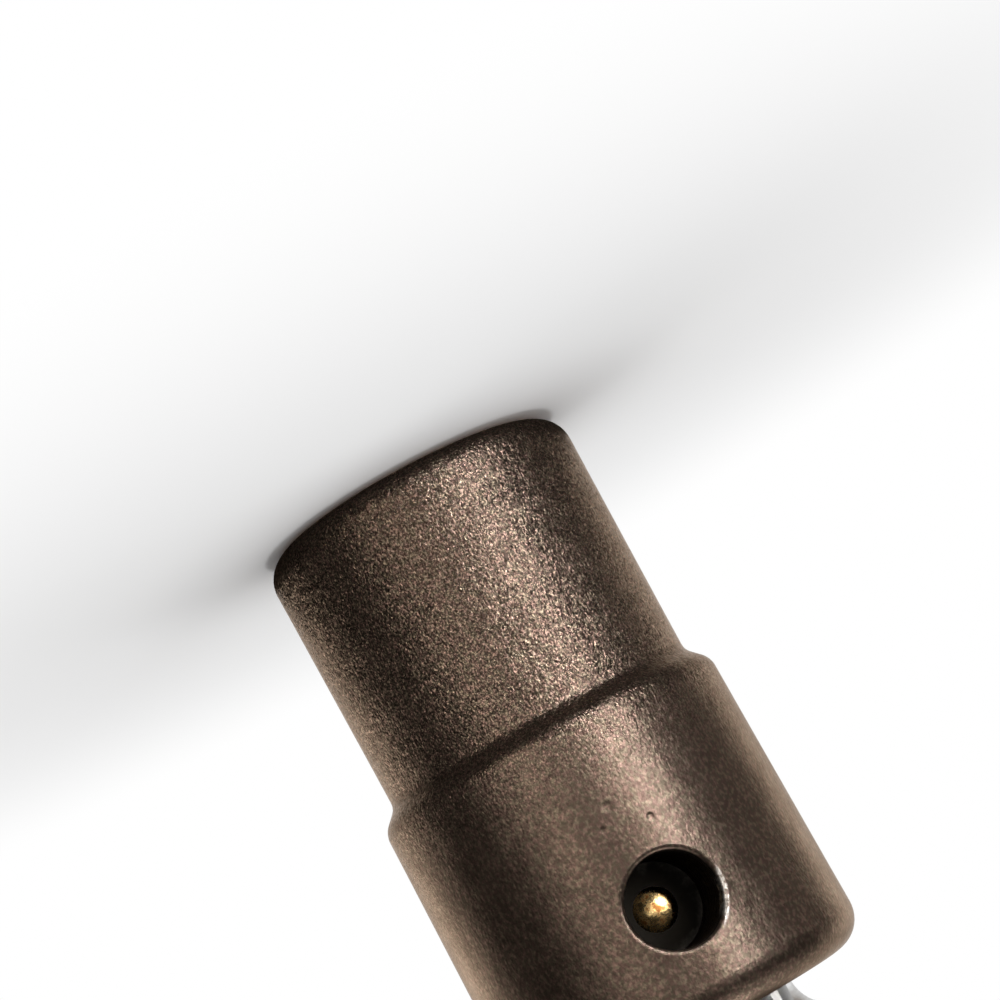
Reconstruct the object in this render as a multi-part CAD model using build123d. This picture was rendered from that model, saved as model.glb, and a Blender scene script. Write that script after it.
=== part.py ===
from build123d import *
import math
import os

# Pinch clamp removal tool: a forged head that grips a pinch clamp's ear, on a drive adapter.
# Millimetres. The head stands on its mouth at Z = 0, and the tool's axis is +Z.
# The detent hole faces -Y, and the long side of the ear pocket lies along X.

# Head, outside
head_length = 36.2
front_length = 16.5
mouth_radius = 10.1
front_draft = 0.2
step_height = 1.15
step_angle = 45.0
rear_draft = 0.17
mouth_round = 1.85
waist_round = 0.9
shoulder_round = 1.35
rear_round = 2.1

# Head, ear pocket and core hole
ear_pocket_length = 10.5
ear_pocket_width = 6.5
ear_pocket_depth = 9.5
ear_pocket_corner = 1.0
ear_pocket_lead_in = 0.5
core_hole_diameter = 6.5

# Square drive, shared by the head's socket and the adapter's tang
drive_square = 9.5
drive_clearance = 0.06
drive_depth = 12.67
drive_seat_gap = 0.05
socket_corner_round = 0.5
socket_lead_in = 1.1

# Detent, shared by the head's hole and the adapter's ball bore
detent_hole_diameter = 5.5
detent_hole_round = 0.3
ball_diameter = 3.5
ball_from_tip = 5.5
ball_clearance = 0.05
ball_sink = 0.02
ball_travel = 0.55
ball_bore_depth = 7.2

# Detent spring
spring_wire = 0.36
spring_outside = 3.1
spring_coils = 4.5
spring_clearance = 0.05

# Adapter
tang_length = 12.82
tang_corner_radius = 6.2
tang_tip_chamfer = 0.9
root_radius = 5.9
flare_radius = 2.6
collar_radius = 7.2
collar_length = 4.0
collar_chamfer = 0.6
neck_length = 4.6
neck_radius = 3.4
hex_across_flats = 6.35
hex_length = 28.0
hex_corner_radius = 3.58
hex_end_chamfer = 0.9
groove_from_end = 9.5
groove_round = 2.6
groove_floor_radius = 2.55

# Radii of the head that follow from the mouth
waist_radius = mouth_radius - front_draft
shoulder_radius = waist_radius + step_height
rear_radius = shoulder_radius + rear_draft

# Places along the axis
step_run = step_height / math.tan(math.radians(step_angle))
step_top_z = front_length + step_run
drive_floor_z = head_length - drive_depth
tip_z = drive_floor_z + drive_seat_gap
ball_z = tip_z + ball_from_tip
root_z = tip_z + tang_length
flare_height = math.sqrt(flare_radius**2 - (root_radius + flare_radius - collar_radius) ** 2)
collar_z = root_z + flare_height
collar_top_z = collar_z + collar_length
hex_z = collar_top_z + neck_length
top_z = hex_z + hex_length

# Places across the axis
ball_radius = ball_diameter / 2
ball_bore_radius = ball_radius + ball_clearance
flat_y = -drive_square / 2
ball_y = flat_y + ball_sink + ball_radius
ball_out_y = ball_y - ball_travel
bore_end_y = flat_y + ball_bore_depth


def turned(outline):
    """A solid of revolution about Z from a closed outline of (radius, height) lines."""
    return revolve(make_face(Plane.XZ * outline), Axis.Z)


def ring_edge(solid, radius, height):
    """The circular edges of a solid at one radius and height."""
    found = [
        edge
        for edge in solid.edges().filter_by(GeomType.CIRCLE)
        if abs(edge.radius - radius) < 1e-4 and abs(edge.arc_center.Z - height) < 1e-4
    ]
    return ShapeList(found)


def across_y(radius, start_y, end_y):
    """A cylinder along Y at the detent's height."""
    length = abs(end_y - start_y)
    middle = Pos(0, (start_y + end_y) / 2, ball_z)
    return middle * Rot(X=90) * Cylinder(radius, length)


def head_blank():
    """The forged outside: a front collar, a sloping step and a wider rear collar."""
    slope = math.hypot(step_height, step_run)
    turn = math.tan(math.radians(step_angle) / 2)
    room = slope / turn / (waist_round + shoulder_round)
    ease = min(1, 0.95 * room)
    outline = Polyline(
        (0, 0),
        (mouth_radius, 0),
        (waist_radius, front_length),
        (shoulder_radius, step_top_z),
        (rear_radius, head_length),
        (0, head_length),
        close=True,
    )
    blank = turned(outline)
    blank = fillet(ring_edge(blank, mouth_radius, 0), mouth_round)
    blank = fillet(ring_edge(blank, waist_radius, front_length), ease * waist_round)
    blank = fillet(ring_edge(blank, shoulder_radius, step_top_z), ease * shoulder_round)
    return fillet(ring_edge(blank, rear_radius, head_length), rear_round)


def ear_pocket():
    """The blind pocket that drops over the clamp's ear, with a flared mouth."""
    floor = RectangleRounded(ear_pocket_length, ear_pocket_width, ear_pocket_corner)
    pocket = extrude(floor, ear_pocket_depth)
    wide = RectangleRounded(
        ear_pocket_length + 2 * ear_pocket_lead_in,
        ear_pocket_width + 2 * ear_pocket_lead_in,
        ear_pocket_corner + ear_pocket_lead_in,
    )
    lead_in = loft([wide.face(), (Pos(0, 0, ear_pocket_lead_in) * floor).face()])
    return pocket + lead_in


def drive_socket():
    """The square socket in the rear end, with its lead-in cone and the core hole below it."""
    side = drive_square + 2 * drive_clearance
    square = RectangleRounded(side, side, socket_corner_round)
    socket = Pos(0, 0, drive_floor_z) * extrude(square, drive_depth)
    inner = side / 2
    outer = inner * math.sqrt(2) - socket_corner_round * (math.sqrt(2) - 1)
    mouth = outer + socket_lead_in / 4
    cone = Cone(mouth - socket_lead_in, mouth, socket_lead_in)
    lead_in = Pos(0, 0, head_length - socket_lead_in / 2) * cone
    core = Pos(0, 0, drive_floor_z / 2) * Cylinder(core_hole_diameter / 2, drive_floor_z)
    return socket + lead_in + core


def removal_head():
    """The one-piece head, with the detent hole's outer edge worn round."""
    head = head_blank() - ear_pocket() - drive_socket()
    head -= across_y(detent_hole_diameter / 2, 0, -rear_radius - 1)
    rim = [
        edge
        for edge in head.edges()
        if abs(edge.center().Z - ball_z) < 0.05 and edge.center().Y < -rear_radius + 1.2
    ]
    return fillet(ShapeList(rim), detent_hole_round)


def adapter_body():
    """The turned middle: a flare out of the tang, the collar and a neck down to the hexagon."""
    bend = math.acos((root_radius + flare_radius - collar_radius) / flare_radius) / 2
    centre = root_radius + flare_radius
    flare_middle = (centre - flare_radius * math.cos(bend), root_z + flare_radius * math.sin(bend))
    outline = (
        Line((0, root_z), (root_radius, root_z))
        + ThreePointArc((root_radius, root_z), flare_middle, (collar_radius, collar_z))
        + Polyline(
            (collar_radius, collar_z),
            (collar_radius, collar_top_z - collar_chamfer),
            (collar_radius - collar_chamfer, collar_top_z),
            (neck_radius, hex_z),
            (0, hex_z),
            (0, root_z),
        )
    )
    return turned(outline)


def square_tang():
    """The male square, its corners turned down and its tip chamfered all round."""
    height = collar_z - tip_z
    square = Pos(0, 0, tip_z) * extrude(Rectangle(drive_square, drive_square), height)
    envelope = turned(
        Polyline(
            (0, tip_z),
            (tang_corner_radius - tang_tip_chamfer, tip_z),
            (tang_corner_radius, tip_z + tang_tip_chamfer),
            (tang_corner_radius, collar_z),
            (0, collar_z),
            close=True,
        )
    )
    return square & envelope


def hex_shank():
    """The hexagonal shank with its chamfered end and the ball groove of a quick-change chuck."""
    sunk = neck_length
    hexagon = RegularPolygon(hex_across_flats / 2, 6, major_radius=False)
    shank = Pos(0, 0, hex_z - sunk) * extrude(hexagon, hex_length + sunk)
    envelope = turned(
        Polyline(
            (0, hex_z - sunk),
            (hex_corner_radius, hex_z - sunk),
            (hex_corner_radius, top_z - hex_end_chamfer),
            (hex_corner_radius - hex_end_chamfer, top_z),
            (0, top_z),
            close=True,
        )
    )
    groove = Pos(0, 0, top_z - groove_from_end) * Torus(groove_floor_radius + groove_round, groove_round)
    return (shank & envelope) - groove


def drive_adapter():
    """The adapter in one piece, bored across for the spring and ball, whose mouth keeps the ball in."""
    adapter = square_tang() + adapter_body() + hex_shank()
    adapter -= across_y(ball_bore_radius, ball_out_y, bore_end_y)
    return adapter - Pos(0, ball_out_y, ball_z) * Sphere(ball_bore_radius)


def detent_ball():
    """The ball, pressed in level with the tang's flat."""
    return Pos(0, ball_y, ball_z) * Sphere(ball_radius)


def detent_spring():
    """The coil spring behind the ball, wound about Y, with both ends ground flat."""
    coil_radius = (spring_outside - spring_wire) / 2
    contact = math.sqrt((ball_radius + spring_wire / 2) ** 2 - coil_radius**2)
    front_y = ball_y + contact + spring_clearance
    back_y = bore_end_y - spring_clearance
    length = back_y - front_y
    pitch = (length + spring_wire) / spring_coils
    path = Helix(pitch, length, coil_radius)
    wire = sweep(Plane(path @ 0, z_dir=path % 0) * Circle(spring_wire / 2), path, is_frenet=True)
    ground = Pos(0, 0, length / 2) * Cylinder(spring_outside, length)
    return Pos(0, back_y, ball_z) * Rot(X=90) * (wire & ground)


parts = {
    "removal_head": removal_head(),
    "drive_adapter": drive_adapter(),
    "detent_ball": detent_ball(),
    "detent_spring": detent_spring(),
}

os.makedirs("parts", exist_ok=True)
for name, shape in parts.items():
    export_step(shape, f"parts/{name}.step")
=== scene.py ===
import math

import bpy
from mathutils import Matrix, Vector


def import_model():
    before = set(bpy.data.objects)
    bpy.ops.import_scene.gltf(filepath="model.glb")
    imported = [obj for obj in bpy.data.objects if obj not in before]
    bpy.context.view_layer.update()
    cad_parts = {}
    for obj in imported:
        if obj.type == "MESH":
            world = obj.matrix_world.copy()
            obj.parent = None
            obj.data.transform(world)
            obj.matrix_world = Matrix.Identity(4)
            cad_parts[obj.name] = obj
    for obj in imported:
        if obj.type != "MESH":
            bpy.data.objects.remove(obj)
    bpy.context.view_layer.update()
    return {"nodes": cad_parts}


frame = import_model()

MM = 0.001

# The height of the detent hole's axis, in millimetres
HOLE_Z = 29.08

# Small dents on the rear collar, each a place and a radius in millimetres
DENTS = (
    ((0.86, -11.07, 22.86), 0.34),
    ((1.64, -10.98, 23.92), 0.26),
    ((-1.04, -11.06, 24.42), 0.24),
)

# The camera, fitted to the tool's outline in the photograph
FOCAL_PX = 2720.0
FRAME_PX = 1000.0
SENSOR_MM = 36.0
CAMERA_DISTANCE = 165.0 * MM
CAMERA_TILT = math.radians(8.876)
CAMERA_TURN = math.radians(12.38)
CAMERA_ROLL = math.radians(28.84)
AXIS_HEIGHT_AT_CENTRE = 3.112 * MM
AXIS_LEFT_OF_CENTRE = 4.549 * MM


def material(name):
    """A new material, its nodes, its links and its Principled shader."""
    made = bpy.data.materials.new(name)
    made.use_nodes = True
    nodes = made.node_tree.nodes
    return made, nodes, made.node_tree.links, nodes["Principled BSDF"]


def feed(links, socket, value):
    """Sets an input socket from a number, a vector, a colour or another socket."""
    if isinstance(value, bpy.types.NodeSocket):
        links.new(value, socket)
    elif isinstance(value, tuple) and socket.type == "RGBA":
        socket.default_value = (*value, 1)
    else:
        socket.default_value = value


def maths(nodes, links, operation, first, second=0.0, third=0.0, clamp=False):
    """One step of arithmetic on numbers or sockets."""
    node = nodes.new("ShaderNodeMath")
    node.operation = operation
    node.use_clamp = clamp
    for socket, value in zip(node.inputs, (first, second, third)):
        feed(links, socket, value)
    return node.outputs[0]


def millimetres(nodes, links, stretch=(1, 1, 1)):
    """The place on the object in millimetres, stretched along each axis."""
    place = nodes.new("ShaderNodeTexCoord")
    scale = nodes.new("ShaderNodeVectorMath")
    scale.operation = "MULTIPLY"
    scale.inputs[1].default_value = [1 / (MM * share) for share in stretch]
    links.new(place.outputs["Object"], scale.inputs[0])
    return scale.outputs["Vector"]


def parted(nodes, links, vector):
    """The three numbers of a vector."""
    node = nodes.new("ShaderNodeSeparateXYZ")
    links.new(vector, node.inputs[0])
    return node.outputs


def noise(nodes, links, vector, scale, detail=2.0, roughness=0.5, distortion=0.0):
    """A noise texture's value, its scale in cycles per millimetre."""
    node = nodes.new("ShaderNodeTexNoise")
    node.inputs["Scale"].default_value = scale
    node.inputs["Detail"].default_value = detail
    node.inputs["Roughness"].default_value = roughness
    node.inputs["Distortion"].default_value = distortion
    links.new(vector, node.inputs["Vector"])
    return node.outputs["Fac"]


def warped(nodes, links, vector, scale, amount):
    """A vector pushed about by noise, so that a cell texture loses its straight joints."""
    node = nodes.new("ShaderNodeTexNoise")
    node.inputs["Scale"].default_value = scale
    node.inputs["Detail"].default_value = 1.0
    links.new(vector, node.inputs["Vector"])
    push = nodes.new("ShaderNodeVectorMath")
    push.operation = "MULTIPLY_ADD"
    links.new(node.outputs["Color"], push.inputs[0])
    push.inputs[1].default_value = (amount, amount, amount)
    links.new(vector, push.inputs[2])
    return push.outputs["Vector"]


def cells(nodes, links, vector, scale):
    """A cell texture's distance from the nearest point, in cells per millimetre."""
    node = nodes.new("ShaderNodeTexVoronoi")
    node.inputs["Scale"].default_value = scale
    links.new(vector, node.inputs["Vector"])
    return node.outputs["Distance"]


def facets(nodes, links, vector, scale, tilt):
    """A normal that tilts at random from one small facet to the next, as blasted grains glitter."""
    node = nodes.new("ShaderNodeTexVoronoi")
    node.inputs["Scale"].default_value = scale
    links.new(vector, node.inputs["Vector"])
    about = nodes.new("ShaderNodeVectorMath")
    about.operation = "SUBTRACT"
    links.new(node.outputs["Color"], about.inputs[0])
    about.inputs[1].default_value = (0.5, 0.5, 0.5)
    amount = nodes.new("ShaderNodeVectorMath")
    amount.operation = "SCALE"
    links.new(about.outputs["Vector"], amount.inputs[0])
    feed(links, amount.inputs["Scale"], tilt)
    upright = nodes.new("ShaderNodeNewGeometry")
    added = nodes.new("ShaderNodeVectorMath")
    links.new(amount.outputs["Vector"], added.inputs[0])
    links.new(upright.outputs["Normal"], added.inputs[1])
    unit = nodes.new("ShaderNodeVectorMath")
    unit.operation = "NORMALIZE"
    links.new(added.outputs["Vector"], unit.inputs[0])
    return unit.outputs["Vector"]


def span(nodes, links, value, low, high, first=0.0, last=1.0):
    """A value that goes smoothly from first to last between low and high."""
    node = nodes.new("ShaderNodeMapRange")
    node.interpolation_type = "SMOOTHSTEP"
    for name, amount in (("From Min", low), ("From Max", high), ("To Min", first), ("To Max", last)):
        node.inputs[name].default_value = amount
    links.new(value, node.inputs["Value"])
    return node.outputs["Result"]


def mixed(nodes, links, factor, first, second):
    """A mix of two colours or colour sockets, past the second where the factor is over one."""
    node = nodes.new("ShaderNodeMix")
    node.data_type = "RGBA"
    node.clamp_factor = False
    for socket, value in ((node.inputs[0], factor), (node.inputs[6], first), (node.inputs[7], second)):
        feed(links, socket, value)
    return node.outputs[2]


def blended(nodes, links, factor, first, second):
    """A mix of two numbers or number sockets."""
    node = nodes.new("ShaderNodeMix")
    for socket, value in ((node.inputs[0], factor), (node.inputs[2], first), (node.inputs[3], second)):
        feed(links, socket, value)
    return node.outputs[0]


def bump(nodes, links, height, distance, strength=1.0, under=None):
    """A bump's normal, its distance in millimetres, over another normal where one is given."""
    node = nodes.new("ShaderNodeBump")
    feed(links, node.inputs["Strength"], strength)
    node.inputs["Distance"].default_value = distance * MM
    links.new(height, node.inputs["Height"])
    if under is not None:
        links.new(under, node.inputs["Normal"])
    return node.outputs["Normal"]


def reach(nodes, links, place, centre):
    """The distance in millimetres from a point on the object."""
    node = nodes.new("ShaderNodeVectorMath")
    node.operation = "DISTANCE"
    links.new(place, node.inputs[0])
    node.inputs[1].default_value = centre
    return node.outputs["Value"]


def from_hole_axis(nodes, links, place):
    """The distance in millimetres from the axis of the detent hole."""
    flat = nodes.new("ShaderNodeVectorMath")
    flat.operation = "MULTIPLY"
    links.new(place, flat.inputs[0])
    flat.inputs[1].default_value = (1, 0, 1)
    return reach(nodes, links, flat.outputs["Vector"], (0, 0, HOLE_Z))


def forged_black():
    """Shot-blasted forging under a brown-black oiled coating, worn bright at the detent hole's edge, with painted shade
    darkening the colour and reflection inside the hole's bore.
    """
    made, nodes, links, shader = material("forged_black")
    place = millimetres(nodes, links)
    long_way = millimetres(nodes, links, (1, 1, 1.35))
    x, y, z = parted(nodes, links, place)[:3]
    rear = span(nodes, links, z, 14.0, 24.0)

    grain = cells(nodes, links, warped(nodes, links, long_way, 3.0, 0.16), 5.6)
    round_grain = maths(nodes, links, "SUBTRACT", 1.0, maths(nodes, links, "POWER", grain, 2.0))
    speckle = noise(nodes, links, long_way, 7.4, detail=2.0, roughness=0.6)
    mottle = noise(nodes, links, place, 1.5, detail=2.0, roughness=0.55)
    waves = noise(nodes, links, place, 0.35, detail=2.0)
    glitter = facets(nodes, links, warped(nodes, links, long_way, 3.0, 0.1), 8.4, blended(nodes, links, rear, 0.3, 0.05))
    normal = bump(nodes, links, waves, 0.1, under=glitter)
    normal = bump(nodes, links, mottle, 0.03, blended(nodes, links, rear, 0.4, 0.3), normal)
    normal = bump(nodes, links, round_grain, 0.034, blended(nodes, links, rear, 0.7, 0.12), normal)
    normal = bump(nodes, links, speckle, 0.036, blended(nodes, links, rear, 1.0, 0.24), normal)
    blotch = noise(nodes, links, long_way, 4.0, detail=1.5, roughness=0.5)
    soft_end = span(nodes, links, z, 23.0, 32.0, 0.55, 0.35)
    normal = bump(nodes, links, blotch, 0.03, maths(nodes, links, "MULTIPLY", rear, soft_end), normal)
    for centre, radius in DENTS:
        dent = span(nodes, links, reach(nodes, links, place, centre), 0.2 * radius, 1.2 * radius)
        normal = bump(nodes, links, dent, 0.045, 0.9, normal)

    from_axis = from_hole_axis(nodes, links, place)
    outer = span(nodes, links, y, -9.6, -10.2)
    edge = maths(nodes, links, "MULTIPLY", span(nodes, links, from_axis, 2.62, 2.78), outer)
    edge = maths(nodes, links, "MULTIPLY", edge, span(nodes, links, from_axis, 3.22, 3.0))
    side = maths(nodes, links, "MULTIPLY", maths(nodes, links, "SUBTRACT", z, HOLE_Z), 0.375)
    side = maths(nodes, links, "MULTIPLY_ADD", x, -0.927, side)
    worn_side = span(nodes, links, side, 2.5, 2.75, 0.03, 1.0)
    chipped = span(nodes, links, noise(nodes, links, place, 2.8, detail=3.0, roughness=0.7), 0.38, 0.62, 0.1)
    worn = maths(nodes, links, "MULTIPLY", maths(nodes, links, "MULTIPLY", edge, worn_side), chipped)
    bore = maths(nodes, links, "MULTIPLY", span(nodes, links, from_axis, 2.86, 2.74), span(nodes, links, y, -4.0, -4.6))
    rings = noise(nodes, links, millimetres(nodes, links, (60, 1, 60)), 4.0)
    normal = bump(nodes, links, rings, 0.03, bore, normal)

    shade = noise(nodes, links, place, 0.7, detail=4.0, roughness=0.6)
    tone = noise(nodes, links, place, 4.4, detail=2.0)
    coat = mixed(nodes, links, span(nodes, links, tone, 0.34, 0.66), (0.109, 0.067, 0.052), (0.096, 0.073, 0.05))
    fine = span(nodes, links, noise(nodes, links, long_way, 9.5, detail=2.0, roughness=0.75), 0.38, 0.7)
    fine = maths(nodes, links, "MULTIPLY_ADD", maths(nodes, links, "POWER", fine, 1.6), 2.8, 0.42)
    coarse = span(nodes, links, noise(nodes, links, long_way, 4.6, detail=1.5, roughness=0.55), 0.36, 0.72)
    coarse = maths(nodes, links, "MULTIPLY_ADD", maths(nodes, links, "POWER", coarse, 1.5), 0.7, 0.74)
    strength = blended(nodes, links, rear, fine, coarse)
    strength = maths(nodes, links, "MULTIPLY", strength, span(nodes, links, shade, 0.3, 0.7, 0.95, 1.05))
    # Painted shade: inside the hole's bore the coating's colour drops to about an eighth.
    strength = maths(nodes, links, "MULTIPLY", strength, span(nodes, links, bore, 0.0, 1.0, 1.0, 0.12))
    coat = mixed(nodes, links, strength, (0, 0, 0), coat)
    links.new(mixed(nodes, links, worn, coat, (0.42, 0.385, 0.35)), shader.inputs["Base Color"])
    links.new(blended(nodes, links, worn, 0.9, 1.0), shader.inputs["Metallic"])
    # Painted shade: inside the bore the reflection tint is a near-black grey.
    tint = mixed(nodes, links, bore, (1.0, 0.84, 0.7), (0.12, 0.11, 0.11))
    links.new(mixed(nodes, links, worn, tint, (1, 1, 1)), shader.inputs["Specular Tint"])
    sheen = maths(nodes, links, "MULTIPLY_ADD", speckle, 0.2, 0.17)
    sheen = maths(nodes, links, "ADD", sheen, span(nodes, links, shade, 0.3, 0.7, 0.0, 0.06))
    sheen = maths(nodes, links, "MULTIPLY_ADD", rear, 0.05, sheen)
    sheen = maths(nodes, links, "MULTIPLY_ADD", bore, 0.3, sheen)
    links.new(blended(nodes, links, worn, sheen, 0.3), shader.inputs["Roughness"])
    links.new(normal, shader.inputs["Normal"])
    return made


def plated_steel():
    """Satin plated steel: turned collar and neck, ground hexagon, the square inside the head darkened with oil and
    painted shade, near-black round the ball as painted shade.
    """
    made, nodes, links, shader = material("plated_steel")
    place = millimetres(nodes, links)
    x, y, z = parted(nodes, links, place)[:3]
    turning = noise(nodes, links, millimetres(nodes, links, (40, 40, 1)), 5.0, detail=2.0)
    grinding = noise(nodes, links, millimetres(nodes, links, (1, 1, 30)), 3.2, detail=2.0)
    ground = span(nodes, links, z, 46.4, 46.8)
    marks = blended(nodes, links, ground, turning, grinding)
    orange_peel = noise(nodes, links, place, 0.9, detail=2.0)
    normal = bump(nodes, links, orange_peel, 0.012)
    normal = bump(nodes, links, marks, 0.006, 0.8, normal)
    links.new(normal, shader.inputs["Normal"])
    cloud = noise(nodes, links, place, 0.5, detail=3.0)
    bright = mixed(nodes, links, cloud, (0.4, 0.39, 0.375), (0.52, 0.51, 0.49))
    # The square inside the head is darker: partly oil, partly painted shade where the head's socket hides it.
    inside = span(nodes, links, z, 36.1, 35.2)
    smear = noise(nodes, links, place, 0.8, detail=4.0, roughness=0.65)
    oil_and_painted_shade = mixed(nodes, links, smear, (0.07, 0.06, 0.05), (0.22, 0.2, 0.175))
    # Painted shade: on the flat facing the detent hole, the colour goes near-black round the ball, with a ragged edge.
    ragged = maths(nodes, links, "MULTIPLY_ADD", smear, 2.4, from_hole_axis(nodes, links, place))
    painted_shade_near_ball = span(nodes, links, ragged, 5.4, 3.4)
    painted_shade_near_ball = maths(nodes, links, "MULTIPLY", painted_shade_near_ball, span(nodes, links, y, -2.0, -3.0))
    oil_and_painted_shade = mixed(nodes, links, painted_shade_near_ball, oil_and_painted_shade, (0.009, 0.0077, 0.0063))
    links.new(mixed(nodes, links, inside, bright, oil_and_painted_shade), shader.inputs["Base Color"])
    links.new(blended(nodes, links, inside, span(nodes, links, marks, 0.3, 0.7, 0.28, 0.36), 0.42), shader.inputs["Roughness"])
    shader.inputs["Metallic"].default_value = 1.0
    return made


def golden_ball():
    """The golden ball, bright where it rubs and brown with old oil elsewhere."""
    made, nodes, links, shader = material("golden_ball")
    place = millimetres(nodes, links)
    marks = noise(nodes, links, place, 2.1, detail=4.0, roughness=0.7)
    shade = mixed(nodes, links, span(nodes, links, marks, 0.38, 0.56), (0.2, 0.075, 0.018), (0.9, 0.62, 0.27))
    links.new(shade, shader.inputs["Base Color"])
    links.new(bump(nodes, links, marks, 0.03), shader.inputs["Normal"])
    links.new(span(nodes, links, marks, 0.4, 0.58, 0.44, 0.24), shader.inputs["Roughness"])
    shader.inputs["Metallic"].default_value = 1.0
    return made


def spring_wire():
    """Drawn spring wire with a faint straw tone."""
    made, nodes, links, shader = material("spring_wire")
    place = millimetres(nodes, links)
    streak = noise(nodes, links, place, 3.0, detail=2.0)
    links.new(mixed(nodes, links, streak, (0.24, 0.22, 0.19), (0.46, 0.43, 0.38)), shader.inputs["Base Color"])
    links.new(span(nodes, links, streak, 0.3, 0.7, 0.28, 0.4), shader.inputs["Roughness"])
    shader.inputs["Metallic"].default_value = 1.0
    return made


def dress(node, made):
    """Gives every material slot of a CAD node the same material."""
    slots = frame["nodes"][node].material_slots
    for slot in slots:
        slot.material = made


def floor():
    """A pale floor that keeps the shadow near the tool and is plain white further out."""
    bpy.ops.mesh.primitive_plane_add(size=6.0, location=(0, 0, -0.02 * MM))
    plane = bpy.context.active_object
    plane.name = "floor"
    made, nodes, links, shader = material("floor_white")
    shader.inputs["Base Color"].default_value = (0.9, 0.9, 0.9, 1)
    shader.inputs["Roughness"].default_value = 0.9
    shader.inputs["Specular IOR Level"].default_value = 0.0
    white = nodes.new("ShaderNodeEmission")
    white.inputs["Color"].default_value = (1, 1, 1, 1)
    place = nodes.new("ShaderNodeNewGeometry")
    length = nodes.new("ShaderNodeVectorMath")
    length.operation = "LENGTH"
    links.new(place.outputs["Position"], length.inputs[0])
    near = nodes.new("ShaderNodeMapRange")
    near.interpolation_type = "SMOOTHSTEP"
    near.inputs["From Min"].default_value = 16 * MM
    near.inputs["From Max"].default_value = 75 * MM
    links.new(length.outputs["Value"], near.inputs["Value"])
    ray = nodes.new("ShaderNodeLightPath")
    seen = nodes.new("ShaderNodeMath")
    seen.operation = "MAXIMUM"
    links.new(ray.outputs["Is Camera Ray"], seen.inputs[0])
    links.new(ray.outputs["Is Glossy Ray"], seen.inputs[1])
    share = nodes.new("ShaderNodeMath")
    share.operation = "MULTIPLY"
    links.new(near.outputs["Result"], share.inputs[0])
    links.new(seen.outputs[0], share.inputs[1])
    blend = nodes.new("ShaderNodeMixShader")
    links.new(share.outputs[0], blend.inputs["Fac"])
    links.new(shader.outputs["BSDF"], blend.inputs[1])
    links.new(white.outputs["Emission"], blend.inputs[2])
    links.new(blend.outputs["Shader"], nodes["Material Output"].inputs["Surface"])
    plane.data.materials.append(made)


def world():
    """White for camera, glossy and transmission rays, a soft grey fill for the rest."""
    made = bpy.data.worlds.new("studio")
    bpy.context.scene.world = made
    made.use_nodes = True
    nodes = made.node_tree.nodes
    links = made.node_tree.links
    back = nodes["Background"]
    back.inputs["Color"].default_value = (1, 1, 1, 1)
    ray = nodes.new("ShaderNodeLightPath")
    seen = nodes.new("ShaderNodeMath")
    seen.operation = "MAXIMUM"
    links.new(ray.outputs["Is Camera Ray"], seen.inputs[0])
    links.new(ray.outputs["Is Glossy Ray"], seen.inputs[1])
    both = nodes.new("ShaderNodeMath")
    both.operation = "MAXIMUM"
    links.new(seen.outputs[0], both.inputs[0])
    links.new(ray.outputs["Is Transmission Ray"], both.inputs[1])
    level = nodes.new("ShaderNodeMapRange")
    level.inputs["To Min"].default_value = 0.4
    level.inputs["To Max"].default_value = 1.0
    links.new(both.outputs[0], level.inputs["Value"])
    links.new(level.outputs["Result"], back.inputs["Strength"])


# Directions seen from the tool: towards the camera, to the photograph's right, and down its length
TOWARDS = Vector((math.sin(CAMERA_TURN), -math.cos(CAMERA_TURN), 0))
RIGHT = Vector((-math.cos(CAMERA_TURN), -math.sin(CAMERA_TURN), 0))
UP = Vector((0, 0, 1))


def camera():
    """The camera at the photograph's place, rolled so that the mouth points up and left."""
    back = TOWARDS * math.cos(CAMERA_TILT) + UP * math.sin(CAMERA_TILT)
    along = UP * math.cos(CAMERA_TILT) - TOWARDS * math.sin(CAMERA_TILT)
    side = RIGHT * math.cos(CAMERA_ROLL) + along * math.sin(CAMERA_ROLL)
    top = RIGHT * math.sin(CAMERA_ROLL) - along * math.cos(CAMERA_ROLL)
    data = bpy.data.cameras.new("camera")
    data.sensor_width = SENSOR_MM
    data.lens = SENSOR_MM * FOCAL_PX / FRAME_PX
    data.clip_start = 0.01
    eye = bpy.data.objects.new("camera", data)
    bpy.context.collection.objects.link(eye)
    place = UP * AXIS_HEIGHT_AT_CENTRE + RIGHT * AXIS_LEFT_OF_CENTRE + back * CAMERA_DISTANCE
    turn = Matrix((side, top, back)).transposed().to_4x4()
    eye.matrix_world = Matrix.Translation(place) @ turn
    bpy.context.scene.camera = eye


def flag(name, first, last, outline):
    """A photographer's black flag between two turns round the tool, which only reflections show."""
    steps = 12
    rows = len(outline)
    points, faces = [], []
    for step in range(steps + 1):
        turn = math.radians(first + (last - first) * step / steps)
        flat = TOWARDS * math.cos(turn) + RIGHT * math.sin(turn)
        points += [flat * radius + UP * height for radius, height in outline]
    for step in range(steps):
        for row in range(rows - 1):
            corner = rows * step + row
            faces.append((corner, corner + 1, corner + rows + 1, corner + rows))
    mesh = bpy.data.meshes.new(name)
    mesh.from_pydata(points, [], faces)
    made, nodes, links, shader = material(name)
    shader.inputs["Base Color"].default_value = (0.01, 0.01, 0.01, 1)
    shader.inputs["Roughness"].default_value = 1.0
    shader.inputs["Specular IOR Level"].default_value = 0.0
    mesh.materials.append(made)
    card = bpy.data.objects.new(name, mesh)
    bpy.context.collection.objects.link(card)
    card.visible_camera = False
    card.visible_diffuse = False
    card.visible_shadow = False


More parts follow.
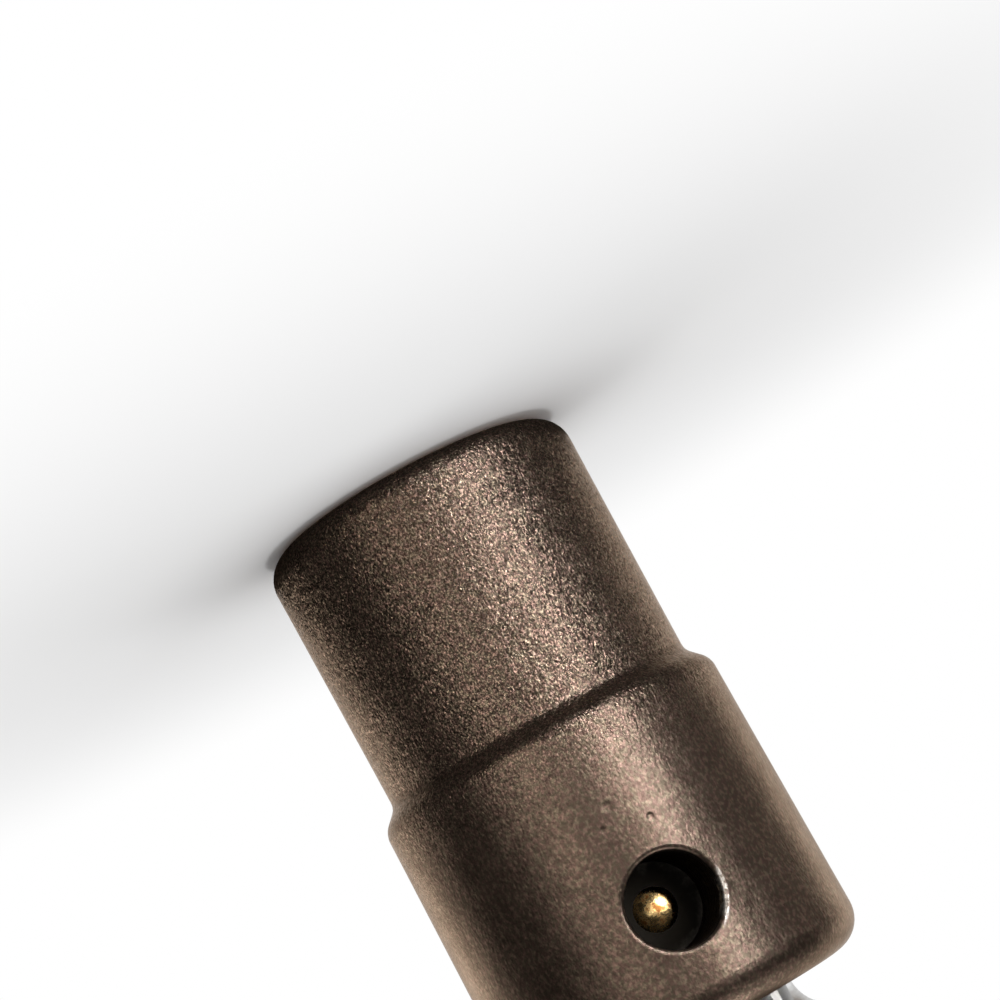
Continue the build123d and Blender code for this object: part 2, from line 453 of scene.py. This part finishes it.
def softbox(name, turn, rise, distance, width, height, power, colour=(1, 1, 1)):
    """An area lamp aimed at the tool, its turn in degrees to the photograph's right of the camera."""
    # a lamp that stands lower than the floor shines through it, as through a light table
    turn = math.radians(turn)
    rise = math.radians(rise)
    flat = TOWARDS * math.cos(turn) + RIGHT * math.sin(turn)
    ray = flat * math.cos(rise) + UP * math.sin(rise)
    data = bpy.data.lights.new(name, "AREA")
    data.shape = "RECTANGLE"
    data.size = width
    data.size_y = height
    data.energy = power
    data.color = colour
    lamp = bpy.data.objects.new(name, data)
    bpy.context.collection.objects.link(lamp)
    lamp.location = UP * 18 * MM + ray * distance
    lamp.rotation_mode = "QUATERNION"
    lamp.rotation_quaternion = ray.to_track_quat("Z", "Y")
    if abs(turn) < 2:
        data.cycles.use_multiple_importance_sampling = False
        lamp.light_linking.blocker_collection = passed
    return lamp


dress("removal_head", forged_black())
dress("drive_adapter", plated_steel())
dress("detent_ball", golden_ball())
dress("detent_spring", spring_wire())
floor()
world()
camera()
passed = bpy.data.collections.new("passed")
passed.objects.link(bpy.data.objects["floor"])
passed.collection_objects[0].light_linking.link_state = "EXCLUDE"
opened = bpy.data.collections.new("opened")
opened.objects.link(bpy.data.objects["floor"])
opened.objects.link(frame["nodes"]["removal_head"])
for held in opened.collection_objects:
    held.light_linking.link_state = "EXCLUDE"
spotted = bpy.data.collections.new("spotted")
spotted.objects.link(frame["nodes"]["detent_ball"])
cove = ((0.04, 0.0005), (0.3, 0.0005), (0.3, 0.35))
flag("flag_right", 60, 118, cove)
flag("flag_left", -98, -42, cove)
flag("flag_front", -42, 60, ((0.3, 0.075), (0.3, 0.4)))
flag("flag_apron", -118, 118, ((0.0089, 0.0001), (0.0103, 0.0003), (0.04, 0.0005)))
cool = (0.95, 1.0, 1.06)
warm = (1.0, 0.96, 0.88)
softbox("key", 43, -5, 0.45, 0.07, 0.20, 0.84, cool)
ball_spot = softbox("ball_spot", 58, -9, 0.3, 0.11, 0.11, 2.0)
ball_spot.light_linking.receiver_collection = spotted
ball_spot.light_linking.blocker_collection = opened
softbox("key_low", 42, -30, 0.45, 0.12, 0.22, 1.05, cool)
softbox("key_soft", 28, -6, 0.45, 0.10, 0.20, 0.22, warm)
softbox("fill", -18, -12, 0.5, 0.10, 0.16, 0.22, warm)
softbox("fill_low", -20, -32, 0.5, 0.12, 0.22, 0.25, warm)
softbox("side_right", 94, 2, 0.5, 0.20, 0.10, 0.05)
softbox("rim_left", -135, 12, 0.5, 0.2, 0.25, 0.34)
softbox("rim_right", 138, 12, 0.5, 0.2, 0.25, 0.17, cool)
softbox("overhead", 180, 88, 0.6, 0.3, 0.3, 1.8)

scene = bpy.context.scene
scene.view_settings.view_transform = "Standard"
